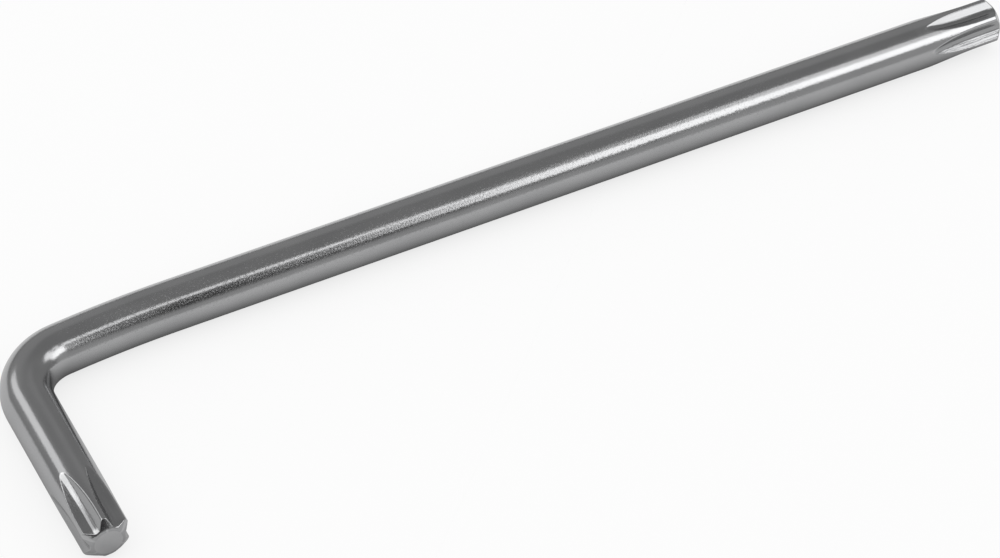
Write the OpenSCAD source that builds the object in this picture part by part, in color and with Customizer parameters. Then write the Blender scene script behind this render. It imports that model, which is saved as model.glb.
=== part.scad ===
// Star key: an L-shaped six-lobe key, bent cold from one round bar, with a star tip formed on both ends.
// The key lies flat on its side. Z is up, the long arm runs along +X and the short arm along -Y.
// The origin is on the surface it lies on, in the middle of the key's outline.

/* [Bar] */
// Diameter of the round bar
bar_d = 8.8; // [8:0.1:10]

/* [Arms] */
// Length of the long arm, from the outside of the bend to the end of its tip
long_leg = 193.2; // [120:0.1:260]
// Length of the short arm, from the outside of the bend to the end of its tip
short_leg = 47.7; // [44:0.1:80]

/* [Bend] */
// Centreline radius of the bend
bend_r = 9.9; // [8:0.1:12]
// Radius of the gentle bow that leads from the long arm into the bend
bow_r = 205; // [140:5:260]
// Part of the quarter turn that the bow takes, in degrees
bow_turn = 5.75; // [2:0.25:8]

/* [Star] */
// Depth of each flute below the surface of the bar
flute_depth = 1.2; // [1.1:0.05:1.35]
// Width of a flute's flat floor
floor_w = 0.9; // [0.6:0.05:1.1]
// Slope of a flute's two walls, in degrees from its floor
wall_slope = 26; // [25:0.5:30]
// Length over which a flute rises out of the bar
runout = 10.5; // [8:0.25:11.5]
// Length of the flutes on the long tip, from the end face to where they rise out
long_flute = 14.7; // [12:0.1:24]
// Length of the flutes on the short tip, from the end face to where they rise out
short_flute = 13.5; // [12:0.1:15]
// Angle of a long tip lobe from straight up, toward the side of the short arm, in degrees
long_clock = 44; // [0:1:59]
// Angle of a short tip lobe from straight up, away from the long arm, in degrees
short_clock = 0; // [0:1:59]

/* [Ends] */
// Draft of the lobe crowns: how much less their radius is at the chamfer than at the shank
crown_draft = 0.05; // [0.02:0.01:0.1]
// Diameter of the flat on each end face
end_flat = 5.6; // [4.5:0.1:6.2]
// Length of the chamfer that leads the tip into a screw
end_chamfer = 1.25; // [0.6:0.05:1.6]

/* [Hidden] */
$fn = 96;

lobes = 6;
pitch = 360 / lobes;
// Plain bar that stays between an arm and the start of the flutes
collar = 2;
// How far cutting shapes reach past the surfaces that they cut
over = 1;

bar_r = bar_d / 2;
// Lengths of the arms along their axes, from the point where the axes cross
long_axis = long_leg - bar_r;
short_axis = short_leg - bar_r;
// Where that crossing point lies in the part's own frame
corner = [bar_r - long_leg / 2, short_leg / 2 - bar_r, bar_r];

// Distance from the crossing point to where the long arm ends and the bow starts
bow_start = bend_r + (bow_r - bend_r) * sin(bow_turn);
// Distance from the crossing point to where the bend ends and the short arm starts
bend_end = bow_r * (1 - cos(bow_turn)) + bend_r * cos(bow_turn);

long_tip_len = long_flute + collar;
short_tip_len = short_flute + collar;

root_r = bar_r - flute_depth;
// The flute's floor follows an arc that is tangent to its straight part and climbs out of the bar
runout_r = (pow(runout, 2) + pow(flute_depth, 2)) / (2 * flute_depth);
runout_turn = asin((runout + over) / runout_r);

steel = [0.62, 0.63, 0.64];
steel_tip = [0.7, 0.7, 0.71];

// A length of the round bar, from the origin along +Z
module bar(length) {
    cylinder(r = bar_r, h = length);
}

// A stretch of bar that turns about the Z axis, from the angle start through the angle turn
module bent_bar(radius, start, turn) {
    rotate([0, 0, start])
        rotate_extrude(angle = turn, $fn = 360)
            translate([radius, 0])
                circle(r = bar_r);
}

// Section of what is cut away between two lobes: a flat floor toward -X between two sloping walls
module flute_section() {
    outer_x = bar_r + over;
    outer_y = floor_w / 2 + (flute_depth + over) / tan(wall_slope);
    polygon([
        [root_r, -floor_w / 2],
        [outer_x, -outer_y],
        [outer_x, outer_y],
        [root_r, floor_w / 2]
    ]);
}

// One flute on +X, for a tip that ends at z = 0: straight near the end face, then curving out of the bar
module flute(length) {
    straight = length - runout;
    translate([0, 0, -straight])
        linear_extrude(height = straight + over)
            flute_section();
    translate([root_r + runout_r, 0, -straight])
        rotate([90, 0, 0])
            rotate([0, 0, 180])
                rotate_extrude(angle = runout_turn, $fn = 720)
                    translate([root_r + runout_r, 0])
                        mirror([1, 0])
                            flute_section();
}

// A star tip that ends at z = 0, chamfered and with six flutes, one lobe turned to the angle clock
module star_tip(flute_length, clock) {
    length = flute_length + collar;
    difference() {
        rotate_extrude()
            polygon([
                [0, -length],
                [bar_r, -length],
                [bar_r - crown_draft, -end_chamfer],
                [end_flat / 2, 0],
                [0, 0]
            ]);
        for (i = [0 : lobes - 1])
            rotate([0, 0, clock + (i + 0.5) * pitch])
                flute(flute_length);
    }
}

// Lays what is drawn along +Z down the long arm, from the crossing point of the axes, with its +X side up
module along_long() {
    translate(corner)
        rotate(180, [1, 0, 1])
            children();
}

// The same down the short arm
module along_short() {
    translate(corner)
        rotate([90, 0, 0])
            rotate([0, 0, 90])
                children();
}

// The long straight arm, from the bow to the collar of its tip
module long_arm() {
    color(steel)
        along_long()
            translate([0, 0, bow_start])
                bar(long_axis - long_tip_len - bow_start);
}

// The gentle bow that the bending left where the long arm runs into the bend
module bow() {
    color(steel)
        translate(corner)
            translate([bow_start, -bow_r, 0])
                bent_bar(bow_r, 90, bow_turn);
}

// The tight turn into the short arm
module bend() {
    color(steel)
        translate(corner)
            translate([bend_r, -bend_end, 0])
                bent_bar(bend_r, 90 + bow_turn, 90 - bow_turn);
}

// The short straight arm, from the bend to the collar of its tip
module short_arm() {
    color(steel)
        along_short()
            translate([0, 0, bend_end])
                bar(short_axis - short_tip_len - bend_end);
}

// The star on the long arm's end
module long_star_tip() {
    color(steel_tip)
        along_long()
            translate([0, 0, long_axis])
                star_tip(long_flute, long_clock);
}

// The star on the short arm's end
module short_star_tip() {
    color(steel_tip)
        along_short()
            translate([0, 0, short_axis])
                star_tip(short_flute, short_clock);
}

long_arm();
bow();
bend();
short_arm();
long_star_tip();
short_star_tip();
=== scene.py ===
import math

import bpy
import numpy as np
from mathutils import Matrix, Vector


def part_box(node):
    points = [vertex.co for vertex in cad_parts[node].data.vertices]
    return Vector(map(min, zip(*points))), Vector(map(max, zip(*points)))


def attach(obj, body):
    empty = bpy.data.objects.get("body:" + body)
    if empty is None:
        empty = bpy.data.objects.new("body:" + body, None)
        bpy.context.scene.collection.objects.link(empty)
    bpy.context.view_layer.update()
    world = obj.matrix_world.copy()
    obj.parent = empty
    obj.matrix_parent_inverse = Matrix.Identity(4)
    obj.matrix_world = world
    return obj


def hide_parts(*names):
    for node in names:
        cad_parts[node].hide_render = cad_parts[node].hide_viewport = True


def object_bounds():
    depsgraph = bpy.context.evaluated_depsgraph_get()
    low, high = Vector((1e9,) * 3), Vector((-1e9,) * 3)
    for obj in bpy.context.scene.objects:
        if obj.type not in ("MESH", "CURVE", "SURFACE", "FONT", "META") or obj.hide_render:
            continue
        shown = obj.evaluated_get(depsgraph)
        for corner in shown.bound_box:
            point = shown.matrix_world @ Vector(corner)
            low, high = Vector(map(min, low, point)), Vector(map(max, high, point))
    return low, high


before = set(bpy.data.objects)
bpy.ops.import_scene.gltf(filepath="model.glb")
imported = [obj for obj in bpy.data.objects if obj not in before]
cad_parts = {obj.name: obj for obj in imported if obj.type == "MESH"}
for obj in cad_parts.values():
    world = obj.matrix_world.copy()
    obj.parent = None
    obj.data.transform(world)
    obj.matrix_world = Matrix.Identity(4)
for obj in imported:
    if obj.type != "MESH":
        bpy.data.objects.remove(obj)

cad_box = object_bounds()


# The long arm: the straight length of the key that the hand pulls on.
# It is round steel bar, drawn to size, tumbled to a fine grain and plated to a satin grey.
# The key is one bar from end to end, so each piece is a length of it that meets the next one flush.
UP = Vector((0.0, 0.0, 1.0))
TOWARD_SHORT_ARM = Vector((0.0, -1.0, 0.0))
COLUMNS = 360
ARM_STEP = 0.004

# Tones of the plating: uneven between the first two, darker in the flutes, lighter on rubbed edges, which
# is wear and a painted highlight along them
DARK_PLATING = (0.335, 0.337, 0.342, 1.0)
LIGHT_PLATING = (0.375, 0.376, 0.38, 1.0)
PRESSED_PLATING = (0.3, 0.302, 0.306, 1.0)
RUBBED_AND_SHEEN_PLATING = (0.42, 0.42, 0.425, 1.0)
CLOUD_LOW = 0.3
CLOUD_HIGH = 0.7

# Roughness of the plating, and what the flutes and the coarsest grains add to it
SMOOTH_ROUGHNESS = 0.135
DULL_ROUGHNESS = 0.18
PRESSED_ROUGHNESS = 0.02
GRAIN_ROUGHNESS = 0.19
GRAIN_LOW = 0.53
GRAIN_HIGH = 0.73

# Stretches of the key, in metres from the long end, over which the coarse grains come in and go out
GRAIN_STARTS = (0.018, 0.06)
GRAIN_STOPS = (0.172, 0.19)

# Relief of the grain, the draw lines and the die's lines in the flutes, and how strongly each shows
FINE_RELIEF = 0.00003
DIE_RELIEF = 0.00008
GRAIN_STRENGTH = 0.33
LINE_STRENGTH = 0.12
DIE_STRENGTH = 0.8

arm_low, arm_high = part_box("long_arm")
bar_radius = (arm_high[2] - arm_low[2]) / 2
axis_height = (arm_high[2] + arm_low[2]) / 2
long_axis_y = (arm_high[1] + arm_low[1]) / 2
around = np.arange(COLUMNS) * 2 * math.pi / COLUMNS


def add_node(tree, kind, inputs=None, **settings):
    """A shader node with its settings, each input being a value or another node's output."""
    node = tree.nodes.new(kind)
    for setting, value in settings.items():
        setattr(node, setting, value)
    for name, value in (inputs or {}).items():
        if isinstance(value, bpy.types.NodeSocket):
            tree.links.new(value, node.inputs[name])
        else:
            node.inputs[name].default_value = value
    return node


def remap(tree, value, first, last, start, end, interpolation="LINEAR"):
    """Takes a value between first and last to one between start and end."""
    node = add_node(tree, "ShaderNodeMapRange", {
        "Value": value, "From Min": first, "From Max": last, "To Min": start, "To Max": end,
    }, interpolation_type=interpolation)
    return node.outputs["Result"]


def combine(tree, operation, first, second, clamp=False):
    """Adds, multiplies or raises two values."""
    node = add_node(tree, "ShaderNodeMath", {0: first, 1: second}, operation=operation, use_clamp=clamp)
    return node.outputs["Value"]


def satin_steel():
    """Satin plated steel: a fine tumbled grain, faint draw lines along the bar, edges rubbed bright as
    wear and with a painted highlight.
    """
    material = bpy.data.materials.new("satin_steel")
    material.use_nodes = True
    tree = material.node_tree
    surface = tree.nodes["Principled BSDF"]
    surface.inputs["Metallic"].default_value = 1.0

    # Place on the straightened bar: across, across, along, in metres
    place = add_node(tree, "ShaderNodeAttribute", attribute_name="bar_place").outputs["Vector"]
    from_long_end = add_node(tree, "ShaderNodeSeparateXYZ", {"Vector": place}).outputs["Z"]
    wear_and_sheen = add_node(tree, "ShaderNodeAttribute", attribute_name="rubbed_and_sheen").outputs["Fac"]
    die = add_node(tree, "ShaderNodeAttribute", attribute_name="pressed").outputs["Fac"]

    def noise(name, across, along, detail):
        """Noise with so many waves to the metre across the bar and along it."""
        stretched = add_node(tree, "ShaderNodeVectorMath", {0: place, 1: (across, across, along)},
                             operation="MULTIPLY")
        texture = add_node(tree, "ShaderNodeTexNoise", {
            "Vector": stretched.outputs["Vector"], "Scale": 1.0, "Detail": detail,
        }, label=name)
        return texture.outputs["Fac"]

    grain = noise("tumbled grain", across=4200, along=3200, detail=2.0)
    draw_lines = noise("draw lines", across=3600, along=45, detail=3.0)
    cloud = noise("uneven plating", across=260, along=90, detail=3.0)
    die_lines = noise("die lines", across=1100, along=50, detail=2.0)

    # Tone
    plating = add_node(tree, "ShaderNodeValToRGB", {"Fac": cloud})
    dark, light = plating.color_ramp.elements
    dark.position = CLOUD_LOW
    dark.color = DARK_PLATING
    light.position = CLOUD_HIGH
    light.color = LIGHT_PLATING
    tone = plating.outputs["Color"]
    # Lighter on rubbed edges: wear, and a painted highlight along the edges
    for share, other in ((die, PRESSED_PLATING), (wear_and_sheen, RUBBED_AND_SHEEN_PLATING)):
        mixed = add_node(tree, "ShaderNodeMix", data_type="RGBA")
        tree.links.new(share, mixed.inputs["Factor"])
        tree.links.new(tone, mixed.inputs["A"])
        mixed.inputs["B"].default_value = other
        tone = mixed.outputs["Result"]
    tree.links.new(tone, surface.inputs["Base Color"])

    # Roughness: the coarsest grains scatter most, and toward both tips the finish is finer
    rough = remap(tree, cloud, CLOUD_LOW, CLOUD_HIGH, SMOOTH_ROUGHNESS, DULL_ROUGHNESS)
    rough = combine(tree, "ADD", rough, remap(tree, die, 0.0, 1.0, 0.0, PRESSED_ROUGHNESS))
    coarse = combine(tree, "MULTIPLY",
                     remap(tree, from_long_end, *GRAIN_STARTS, 0.0, GRAIN_ROUGHNESS, "SMOOTHSTEP"),
                     remap(tree, from_long_end, *GRAIN_STOPS, 1.0, 0.0, "SMOOTHSTEP"))
    rough = combine(tree, "ADD", rough, remap(tree, grain, GRAIN_LOW, GRAIN_HIGH, 0.0, coarse))
    tree.links.new(rough, surface.inputs["Roughness"])

    # Relief
    relief = add_node(tree, "ShaderNodeBump", {
        "Height": grain, "Strength": GRAIN_STRENGTH, "Distance": FINE_RELIEF})
    relief = add_node(tree, "ShaderNodeBump", {
        "Height": draw_lines, "Strength": LINE_STRENGTH, "Distance": FINE_RELIEF,
        "Normal": relief.outputs["Normal"]})
    relief = add_node(tree, "ShaderNodeBump", {
        "Height": die_lines, "Strength": remap(tree, die, 0.0, 1.0, 0.0, DIE_STRENGTH),
        "Distance": DIE_RELIEF, "Normal": relief.outputs["Normal"]})
    tree.links.new(relief.outputs["Normal"], surface.inputs["Normal"])
    return material


steel = satin_steel()


def lay_bar(name, stations, shape=None, end_rings=()):
    """A closed length of bar along its stations (centre, inner side, distance along the key).

    shape gives the radius, the normal and the rubbed and pressed shares at each station and column; the
    rubbed share is wear and a painted highlight on the edges.
    end_rings are the radii of the rings that close the last station's end face, for an end that shows.
    """
    rows = len(stations)
    centres = np.array([list(centre) for centre, inner, along in stations])
    inners = np.array([list(inner) for centre, inner, along in stations])
    alongs = np.array([along for centre, inner, along in stations])
    ups = np.broadcast_to(np.array(UP), (rows, 3))
    forward = np.cross(inners, ups)

    if shape is None:
        radius = np.full((rows, COLUMNS), bar_radius)
        lean = np.zeros((rows, COLUMNS, 3))
        lean[:, :, 0] = 1.0
        rubbed_and_sheen = np.zeros((rows, COLUMNS))
        pressed = np.zeros((rows, COLUMNS))
    else:
        radius, lean, rubbed_and_sheen, pressed = shape

    outward = (np.cos(around)[None, :, None] * ups[:, None, :]
               + np.sin(around)[None, :, None] * inners[:, None, :])
    turning = (-np.sin(around)[None, :, None] * ups[:, None, :]
               + np.cos(around)[None, :, None] * inners[:, None, :])
    points = (centres[:, None, :] + radius[:, :, None] * outward).reshape(-1, 3)
    normals = (lean[:, :, 0:1] * outward + lean[:, :, 1:2] * turning
               + lean[:, :, 2:3] * forward[:, None, :]).reshape(-1, 3)
    places = np.stack([radius * np.cos(around), radius * np.sin(around),
                       np.broadcast_to(alongs[:, None], (rows, COLUMNS))], axis=2).reshape(-1, 3)

    faces = []
    for row in range(rows - 1):
        for column in range(COLUMNS):
            right = (column + 1) % COLUMNS
            faces.append((row * COLUMNS + column, (row + 1) * COLUMNS + column,
                          (row + 1) * COLUMNS + right, row * COLUMNS + right))
    corner_normals = [normals[vertex] for face in faces for vertex in face]

    def add_cap(ring, direction):
        faces.append(ring)
        corner_normals.extend([direction] * len(ring))

    add_cap(tuple(range(COLUMNS)), -forward[0])
    last = list(range((rows - 1) * COLUMNS, rows * COLUMNS))
    points = list(points)
    places = list(places)
    rubbed_and_sheen = list(rubbed_and_sheen.reshape(-1))
    pressed = list(pressed.reshape(-1))
    for ring_radius in end_rings:
        ring = list(range(len(points), len(points) + COLUMNS))
        points.extend(centres[-1] + ring_radius * outward[-1])
        places.extend(np.stack([ring_radius * np.cos(around), ring_radius * np.sin(around),
                                np.full(COLUMNS, alongs[-1])], axis=1))
        rubbed_and_sheen.extend([0.0] * COLUMNS)
        pressed.extend([0.0] * COLUMNS)
        for column in range(COLUMNS):
            right = (column + 1) % COLUMNS
            face = (last[column], ring[column], ring[right], last[right])
            faces.append(face)
            corner_normals.extend([forward[-1]] * len(face))
        last = ring
    add_cap(tuple(reversed(last)), forward[-1])

    mesh = bpy.data.meshes.new(name)
    mesh.from_pydata([tuple(point) for point in points], [], faces)
    mesh.polygons.foreach_set("use_smooth", [True] * len(faces))
    mesh.attributes.new("bar_place", "FLOAT_VECTOR", "POINT").data.foreach_set(
        "vector", np.array(places, dtype=np.float32).ravel())
    for attribute, shares in (("rubbed_and_sheen", rubbed_and_sheen), ("pressed", pressed)):
        mesh.attributes.new(attribute, "FLOAT", "POINT").data.foreach_set(
            "value", np.array(shares, dtype=np.float32))
    mesh.normals_split_custom_set([tuple(normal) for normal in corner_normals])
    mesh.validate()
    piece = bpy.data.objects.new(name, mesh)
    bpy.context.scene.collection.objects.link(piece)
    piece.data.materials.append(steel)
    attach(piece, "root")
    return piece


def straight(start, end, inner, along, step):
    """Stations of a straight length of bar from start to end."""
    length = (end - start).length
    count = max(2, math.ceil(length / step) + 1)
    shares = [i / (count - 1) for i in range(count)]
    return [(start.lerp(end, share), inner, along + length * share) for share in shares]


long_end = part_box("long_star_tip")[1][0]
long_start = Vector((arm_high[0], long_axis_y, axis_height))
bow_start = Vector((arm_low[0], long_axis_y, axis_height))
long_arm = lay_bar("long_arm_bar", straight(
    long_start, bow_start, TOWARD_SHORT_ARM, long_end - long_start.x, ARM_STEP))
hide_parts("long_arm")


# The bow: the last stretch of the long arm, which the bending press pulled slightly round.
# It is the same bar, bent cold to a very large radius, and it runs into the tight bend.
BOW_RADIUS = 0.205
BOW_TURN = math.radians(5.75)
BOW_ROWS = 16


def turned(centre, radius, first, last, rows, along):
    """Stations of a bar that turns about a point, between two angles from +Y toward -X."""
    stations = []
    for i in range(rows):
        angle = first + (last - first) * i / (rows - 1)
        out = Vector((-math.sin(angle), math.cos(angle), 0.0))
        stations.append((centre + radius * out, -out, along + radius * (angle - first)))
    return stations


bow_along = long_end - bow_start.x
bow_centre = bow_start + BOW_RADIUS * TOWARD_SHORT_ARM
bow = lay_bar("bow_bar", turned(bow_centre, BOW_RADIUS, 0.0, BOW_TURN, BOW_ROWS, bow_along))
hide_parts("bow")


# The bend: the tight quarter turn between the arms, bent cold round a former.
# The bar keeps its round section, and the coarse grain of the long arm dies out over it.
BEND_RADIUS = 0.0099
BEND_ROWS = 72

short_low, short_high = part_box("short_arm")
short_axis_x = (short_high[0] + short_low[0]) / 2
bend_centre = Vector((short_axis_x + BEND_RADIUS, short_high[1], axis_height))
bend_along = bow_along + BOW_RADIUS * BOW_TURN
bend = lay_bar("bend_bar", turned(
    bend_centre, BEND_RADIUS, BOW_TURN, math.pi / 2, BEND_ROWS, bend_along))
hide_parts("bend")


# The short arm: the straight stub after the bend, for use in narrow places.
# It is the same plated bar, and its end is formed into the second star.
TOWARD_LONG_ARM = Vector((1.0, 0.0, 0.0))
short_start = Vector((short_axis_x, short_high[1], axis_height))
short_stop = Vector((short_axis_x, short_low[1], axis_height))
short_along = bend_along + BEND_RADIUS * (math.pi / 2 - BOW_TURN)
short_arm = lay_bar("short_arm_bar", straight(
    short_start, short_stop, TOWARD_LONG_ARM, short_along, ARM_STEP))
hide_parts("short_arm")


# The star on the long arm's end: six flutes pressed into the bar leave six lobes between them.
# Each flute is straight near the end, then climbs out of the bar on a long arc.
# The end is chamfered, and use has worn one edge of each lobe round.
LOBES = 6
LONG_FLUTE = 0.0147
LONG_CLOCK = math.radians(44)
RUNOUT = 0.0105
FLUTE_DEPTH = 0.0012
FLOOR_WIDTH = 0.0009
FLOOR_RADIUS = 0.0022
WALL_TILT = math.radians(27)
WALL_FILLET = 0.00012
CURVE_POINTS = 30
WALL_POINTS = 60

CROWN_DRAFT = 0.00005
END_FLAT_RADIUS = 0.0028
END_CHAMFER = 0.00125
END_DIP = 0.0002
END_DIP_LENGTH = 0.0018

# Roundings: worn and sharp lobe edges, the rim of a flute where it runs out, the chamfer's two edges
WORN_ROUND = 0.0003
SHARP_ROUND = 0.00005
RIM_ROUND = 0.00002
END_ROUND = 0.0002
FLAT_ROUND = 0.001
# Width of the rubbed band along the edges, which is wear and a painted highlight, and the depth at which
# a flute counts as fully pressed
RUBBED_SHEEN_WIDTH = 0.00005
PRESSED_DEPTH = 0.0002

# Rows of the mesh, closer together from just before the chamfer, and rings of the end face
TIP_STEP = 0.00014
END_ZONE = END_CHAMFER * 1.3
END_ROWS = 48
FACE_RINGS = (0.97, 0.8, 0.55, 0.3)

# Small steps along the tip and round it, over which the surface's slope is taken
NUDGE = 0.000004
NUDGE_TURN = 0.001


def flute_outline():
    """Half of a flute's section, from its floor to past the bar: x away from the axis, y across."""
    floor = bar_radius - FLUTE_DEPTH
    floor_turn = math.asin(FLOOR_WIDTH / 2 / FLOOR_RADIUS)
    bed = np.linspace(0, floor_turn, CURVE_POINTS)
    bed_x = floor + FLOOR_RADIUS * (1 - np.cos(bed))
    bed_y = FLOOR_RADIUS * np.sin(bed)
    fillet = np.linspace(floor_turn, WALL_TILT, CURVE_POINTS)[1:]
    fillet_x = bed_x[-1] + WALL_FILLET * (math.cos(floor_turn) - np.cos(fillet))
    fillet_y = bed_y[-1] + WALL_FILLET * (np.sin(fillet) - math.sin(floor_turn))
    wall_y = fillet_y[-1] + np.linspace(0, bar_radius, WALL_POINTS)[1:]
    wall_x = fillet_x[-1] + (wall_y - fillet_y[-1]) * math.tan(WALL_TILT)
    return np.concatenate([bed_x, fillet_x, wall_x]), np.concatenate([bed_y, fillet_y, wall_y])


def soft_min(a, b, width):
    """The smaller of two radii, with the edge between them rounded."""
    near = np.clip(width - np.abs(a - b), 0, None) / width
    return np.minimum(a, b) - near**2 * width / 4


def chamfer_radius(from_end):
    """Radius of the chamfer at distances from the end, with its edge to the end flat rounded off."""
    slope = (bar_radius - CROWN_DRAFT - END_FLAT_RADIUS) / END_CHAMFER
    turn = math.atan2(1.0, slope)
    flat = END_FLAT_RADIUS - FLAT_ROUND * math.tan(turn / 2)
    depth = np.maximum(from_end, 0.0)
    rounded = flat + np.sqrt(np.maximum(2 * FLAT_ROUND * depth - depth**2, 0.0))
    return np.where(depth < FLAT_ROUND * (1 - math.cos(turn)), rounded, END_FLAT_RADIUS + depth * slope)


def star_radius(angle, from_end, length, flute_length, clock):
    """Radius of the tip at angles round it and distances from its end.

    Also gives how far it is rubbed, as wear and a painted highlight on the edges, and pressed there.
    """
    outline_x, outline_y = flute_outline()
    arc_radius = (RUNOUT**2 + FLUTE_DEPTH**2) / (2 * FLUTE_DEPTH)
    pitch = 2 * math.pi / LOBES
    off_centre = (angle - clock) % pitch - pitch / 2

    # One edge of each lobe is worn round, the other is sharp, and both are crisp where the flute runs out
    worn = np.where(off_centre > 0, 1.0, 0.0)
    edge_round = SHARP_ROUND + (WORN_ROUND - SHARP_ROUND) * worn
    fluted = np.empty((len(from_end), len(angle)))
    rounding = np.empty((len(from_end), len(angle)))
    for row, depth in enumerate(from_end):
        climb = max(0.0, depth - (flute_length - RUNOUT))
        rise = climb**2 / (2 * arc_radius)
        dip = END_DIP * max(0.0, 1 - depth / END_DIP_LENGTH)**2
        x = outline_x + rise - dip
        fluted[row] = np.interp(np.abs(off_centre), np.arctan2(outline_y, x), np.hypot(x, outline_y))
        rounding[row] = RIM_ROUND + (edge_round - RIM_ROUND) * max(0.0, 1 - rise / FLUTE_DEPTH)

    toward_shank = (from_end - END_CHAMFER) / (length - END_CHAMFER)
    blank = (bar_radius - CROWN_DRAFT * (1 - toward_shank))[:, None]
    cone = chamfer_radius(from_end)[:, None]
    body = soft_min(fluted, blank, rounding)
    radius = soft_min(body, cone, END_ROUND)
    # The rubbed share: the worn lobe edges and the chamfer's edge, lightened as wear and as a painted
    # highlight
    rubbed_and_sheen = np.maximum(worn * np.exp(-((fluted - blank) / RUBBED_SHEEN_WIDTH)**2),
                        np.exp(-((body - cone) / RUBBED_SHEEN_WIDTH)**2))
    pressed = np.clip((blank - fluted) / PRESSED_DEPTH, 0, 1)
    return radius, rubbed_and_sheen, pressed


def star_tip(name, start, direction, inner, along, flute_length, clock):
    """A star tip that starts at a plain ring of bar and ends in a chamfered flat face."""
    end = start + direction
    length = direction.length
    plain_rows = math.ceil((length - END_ZONE) / TIP_STEP)
    depths = np.concatenate([np.linspace(length, END_ZONE, plain_rows),
                             END_ZONE * np.linspace(1, 0, END_ROWS)[1:]**2])
    stations = [(end - direction.normalized() * depth, inner, along + length - depth)
                for depth in depths]

    def radius_at(turn, shift):
        return star_radius(around + turn, depths + shift, length, flute_length, clock)[0]

    radius, rubbed_and_sheen, pressed = star_radius(around, depths, length, flute_length, clock)
    per_turn = (radius_at(NUDGE_TURN, 0) - radius_at(-NUDGE_TURN, 0)) / (2 * NUDGE_TURN)
    per_length = (radius_at(0, -NUDGE) - radius_at(0, NUDGE)) / (2 * NUDGE)
    lean = np.stack([np.ones_like(radius), -per_turn / radius, -per_length], axis=2)
    lean /= np.linalg.norm(lean, axis=2, keepdims=True)

    # The first row is plain bar, flush with the arm, and the last one lies in the end face
    radius[0] = bar_radius
    lean[0] = (1.0, 0.0, 0.0)
    rubbed_and_sheen[0] = 0.0
    pressed[0] = 0.0
    lean[-1] = (0.0, 0.0, 1.0)
    rings = [radius[-1].min() * share for share in FACE_RINGS]
    return lay_bar(name, stations, (radius, lean, rubbed_and_sheen, pressed), rings)


long_tip = star_tip("long_star_tip_bar", long_start, Vector((long_end - long_start.x, 0, 0)),
                    -TOWARD_SHORT_ARM, 0.0, LONG_FLUTE, -LONG_CLOCK)
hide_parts("long_star_tip")


# The star on the short arm's end: the same six lobes, pressed a little shorter.
# One lobe stands straight up when the key lies flat.
SHORT_FLUTE = 0.0135
SHORT_CLOCK = 0.0

short_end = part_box("short_star_tip")[0][1]
tip_along = short_along + (short_start - short_stop).length
short_tip = star_tip("short_star_tip_bar", short_stop, Vector((0, short_end - short_stop.y, 0)),
                     TOWARD_LONG_ARM, tip_along, SHORT_FLUTE, SHORT_CLOCK)
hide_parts("short_star_tip")


# The table it lies on: a pale, dull studio board that reaches to the horizon in the bar's reflections.
# The eye and those reflections see it glowing nearly white, with the key's shadow painted into the glow
# under and beside it.
BOARD_HALF = 4.0
BOARD_GAP = 0.00002
BOARD_LIFT = 0.92
# Reach of the shadow painted into the board's glow, and its strength to the eye and in the metal's
# reflections
SHADE_REACH = 0.05
SHADE_TO_EYE = 0.09
SHADE_IN_METAL = 1.6
MOTTLE_SCALE = 40.0
PAINT_TONES = ((0.86, 0.86, 0.86, 1.0), (0.88, 0.88, 0.88, 1.0))


def board_paint():
    """Dull white paint with a faint mottle, lifted toward white by a glow into which the key's shadow is
    painted.
    """
    material = bpy.data.materials.new("board_paint")
    material.use_nodes = True
    tree = material.node_tree
    tree.nodes.remove(tree.nodes["Principled BSDF"])
    texture = add_node(tree, "ShaderNodeTexNoise", {"Scale": MOTTLE_SCALE})
    mottle = add_node(tree, "ShaderNodeValToRGB", {"Fac": texture.outputs["Fac"]})
    for stop, tone in zip(mottle.color_ramp.elements, PAINT_TONES):
        stop.color = tone
    paint = add_node(tree, "ShaderNodeBsdfDiffuse", {"Color": mottle.outputs["Color"]})

    path = add_node(tree, "ShaderNodeLightPath").outputs
    # Painted shadow: the glow is darkened where the key closes in the board, more in the metal's
    # reflections than to the eye
    shade = add_node(tree, "ShaderNodeAmbientOcclusion", {"Distance": SHADE_REACH})
    depth = remap(tree, path["Is Glossy Ray"], 0.0, 1.0, SHADE_TO_EYE, SHADE_IN_METAL)
    glow_and_painted_shadow = add_node(tree, "ShaderNodeEmission", {
        "Strength": combine(tree, "POWER", shade.outputs["AO"], depth)})

    seen = combine(tree, "ADD", path["Is Camera Ray"], path["Is Glossy Ray"], clamp=True)
    seen = combine(tree, "ADD", seen, path["Is Transmission Ray"], clamp=True)
    lifted = add_node(tree, "ShaderNodeMixShader", {
        "Fac": combine(tree, "MULTIPLY", seen, BOARD_LIFT),
        1: paint.outputs["BSDF"], 2: glow_and_painted_shadow.outputs["Emission"]})
    tree.links.new(lifted.outputs["Shader"], tree.nodes["Material Output"].inputs["Surface"])
    return material


board_mesh = bpy.data.meshes.new("board")
board_mesh.from_pydata([(-BOARD_HALF, -BOARD_HALF, 0), (BOARD_HALF, -BOARD_HALF, 0),
                        (BOARD_HALF, BOARD_HALF, 0), (-BOARD_HALF, BOARD_HALF, 0)], [], [(0, 1, 2, 3)])
board = bpy.data.objects.new("board", board_mesh)
board.location.z = cad_box[0][2] - BOARD_GAP
board_mesh.materials.append(board_paint())
bpy.context.scene.collection.objects.link(board)


# The light: soft boxes hung level round the key, each square to one of its arms, in a grey room.
# A large one is at the front right, with a narrow dim one and a wide one above it and a small one
# to its left that lights the bend. Two are at the left: one beside the short arm, one further back.
BOX_REACH = 0.8
TOWARD_FRONT = TOWARD_SHORT_ARM
TOWARD_BACK = -TOWARD_SHORT_ARM
TOWARD_LEFT = -TOWARD_LONG_ARM


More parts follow.
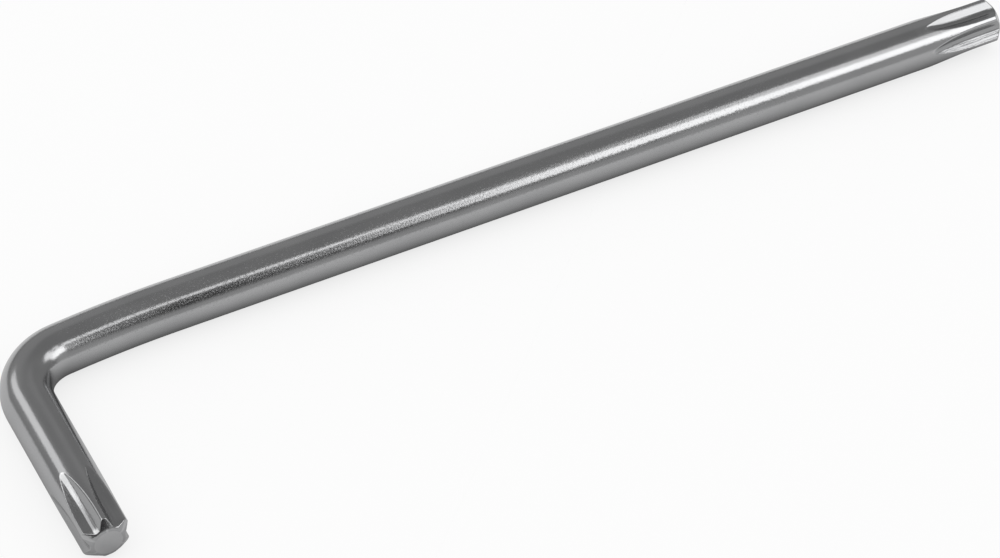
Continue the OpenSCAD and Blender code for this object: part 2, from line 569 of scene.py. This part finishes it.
def soft_box(name, arm, side, start, stop, low, high, radiance):
    """A soft box square to an arm, on one side of it, between two heights in degrees above the horizon.

    start and stop are how far it reaches along the arm's direction, in shares of its distance.
    """
    middle = math.radians((low + high) / 2)
    out = side * math.cos(middle) + UP * math.sin(middle)
    light = bpy.data.lights.new(name, "AREA")
    light.shape = "RECTANGLE"
    light.size = BOX_REACH * (stop - start)
    light.size_y = 2 * BOX_REACH * math.tan(math.radians((high - low) / 2))
    light.energy = radiance * math.pi * light.size * light.size_y
    lamp = bpy.data.objects.new(name, light)
    lamp.location = BOX_REACH * (out + arm * (start + stop) / 2)
    facing = Matrix((arm, out.cross(arm), out)).transposed()
    lamp.rotation_euler = facing.to_euler()
    bpy.context.scene.collection.objects.link(lamp)


soft_box("front_box", TOWARD_LONG_ARM, TOWARD_FRONT, 0.31, 1.55, 36.5, 63.0, 2.25)
soft_box("upper_box", TOWARD_LONG_ARM, TOWARD_FRONT, 0.43, 0.62, 63.0, 80.0, 1.3)
soft_box("right_box", TOWARD_LONG_ARM, TOWARD_FRONT, 0.72, 1.60, 63.0, 92.0, 1.6)
soft_box("bend_box", TOWARD_LONG_ARM, TOWARD_FRONT, 0.13, 0.32, 60.0, 70.0, 1.7)
soft_box("left_box", TOWARD_BACK, TOWARD_LEFT, -0.05, 0.50, 29.0, 88.0, 2.0)
soft_box("back_box", TOWARD_BACK, TOWARD_LEFT, 0.37, 1.60, 36.0, 63.0, 1.0)

# Tones of the room
BACK_LOW = 0.46
BACK_RIGHT = 0.37
BACK_HIGH = 0.35
FRONT_LEFT = 0.04
FRONT_RIGHT = 0.62
HORIZON = 0.58
HORIZON_LEFT = 0.25
HORIZON_BACK = 0.36
SWEEP = 1.0

# Where one tone gives way to the next, as parts of a direction of unit length: from none to all of it
BACK_UPWARD = (0.66, 0.80)
BACK_RIGHTWARD = (0.45, 0.65)
BACK_DOWNWARD = (0.30, 0.10)
FRONT_RIGHTWARD = (0.25, 0.42)
FRONT_LEFTWARD = (0.10, -0.10)
FRONT_DOWNWARD = (0.50, 0.20)
BACK_TO_FRONT = (-0.35, -0.65)
SWEEP_LEFTWARD = (-0.30, -0.55)
SWEEP_TO_FRONT = (0.20, -0.20)
SWEEP_DOWNWARD = (0.14, 0.08)


def room_light():
    """The grey room: mid grey at the back, dark at the front left and lighter at the front right.

    The front left lightens toward its horizon, and a white sweep stands low at the back left.
    """
    world = bpy.data.worlds.new("room")
    world.use_nodes = True
    tree = world.node_tree
    place = add_node(tree, "ShaderNodeTexCoord").outputs["Generated"]
    toward = add_node(tree, "ShaderNodeSeparateXYZ", {"Vector": place}).outputs

    def fade(direction, span, start=0.0, end=1.0):
        return remap(tree, toward[direction], *span, start, end, "SMOOTHSTEP")

    def blend(share, first, second):
        mixed = add_node(tree, "ShaderNodeMix", {"Factor": share, "A": first, "B": second})
        return mixed.outputs["Result"]

    back = blend(fade("Z", BACK_UPWARD), fade("X", BACK_RIGHTWARD, BACK_LOW, BACK_RIGHT), BACK_HIGH)
    back = blend(fade("Z", BACK_DOWNWARD), back, HORIZON_BACK)
    front = fade("X", FRONT_RIGHTWARD, FRONT_LEFT, FRONT_RIGHT)
    low_right = fade("X", FRONT_RIGHTWARD, HORIZON, FRONT_RIGHT)
    low_front = blend(fade("X", FRONT_LEFTWARD), low_right, HORIZON_LEFT)
    front = blend(fade("Z", FRONT_DOWNWARD), front, low_front)
    room = blend(fade("Y", BACK_TO_FRONT), back, front)
    sweep = blend(fade("X", SWEEP_LEFTWARD), room, SWEEP)
    sweep = blend(fade("Y", SWEEP_TO_FRONT), sweep, room)
    room = blend(fade("Z", SWEEP_DOWNWARD), room, sweep)
    tree.links.new(room, tree.nodes["Background"].inputs["Strength"])
    tree.nodes["Background"].inputs["Color"].default_value = (1.0, 1.0, 1.0, 1.0)
    return world


bpy.context.scene.world = room_light()
bpy.context.scene.view_settings.view_transform = "Standard"


# The view: from the front left, halfway up, so that the long arm runs away to the upper right.
# The lens is long, and the key fills the picture from edge to edge.
VIEW_TURN = math.radians(26.74)
VIEW_HEIGHT = math.radians(45.17)
VIEW_DISTANCE = 0.6491
VIEW_POINT = Vector((-0.01141, 0.00049, 0.0044))
VIEW_LENS = 140.0

look = Vector((math.sin(VIEW_TURN) * math.cos(VIEW_HEIGHT),
               math.cos(VIEW_TURN) * math.cos(VIEW_HEIGHT), -math.sin(VIEW_HEIGHT)))
camera_data = bpy.data.cameras.new("camera")
camera_data.lens = VIEW_LENS
camera = bpy.data.objects.new("camera", camera_data)
camera.location = VIEW_POINT - look * VIEW_DISTANCE
camera.rotation_euler = look.to_track_quat("-Z", "Y").to_euler()
bpy.context.scene.collection.objects.link(camera)
bpy.context.scene.camera = camera
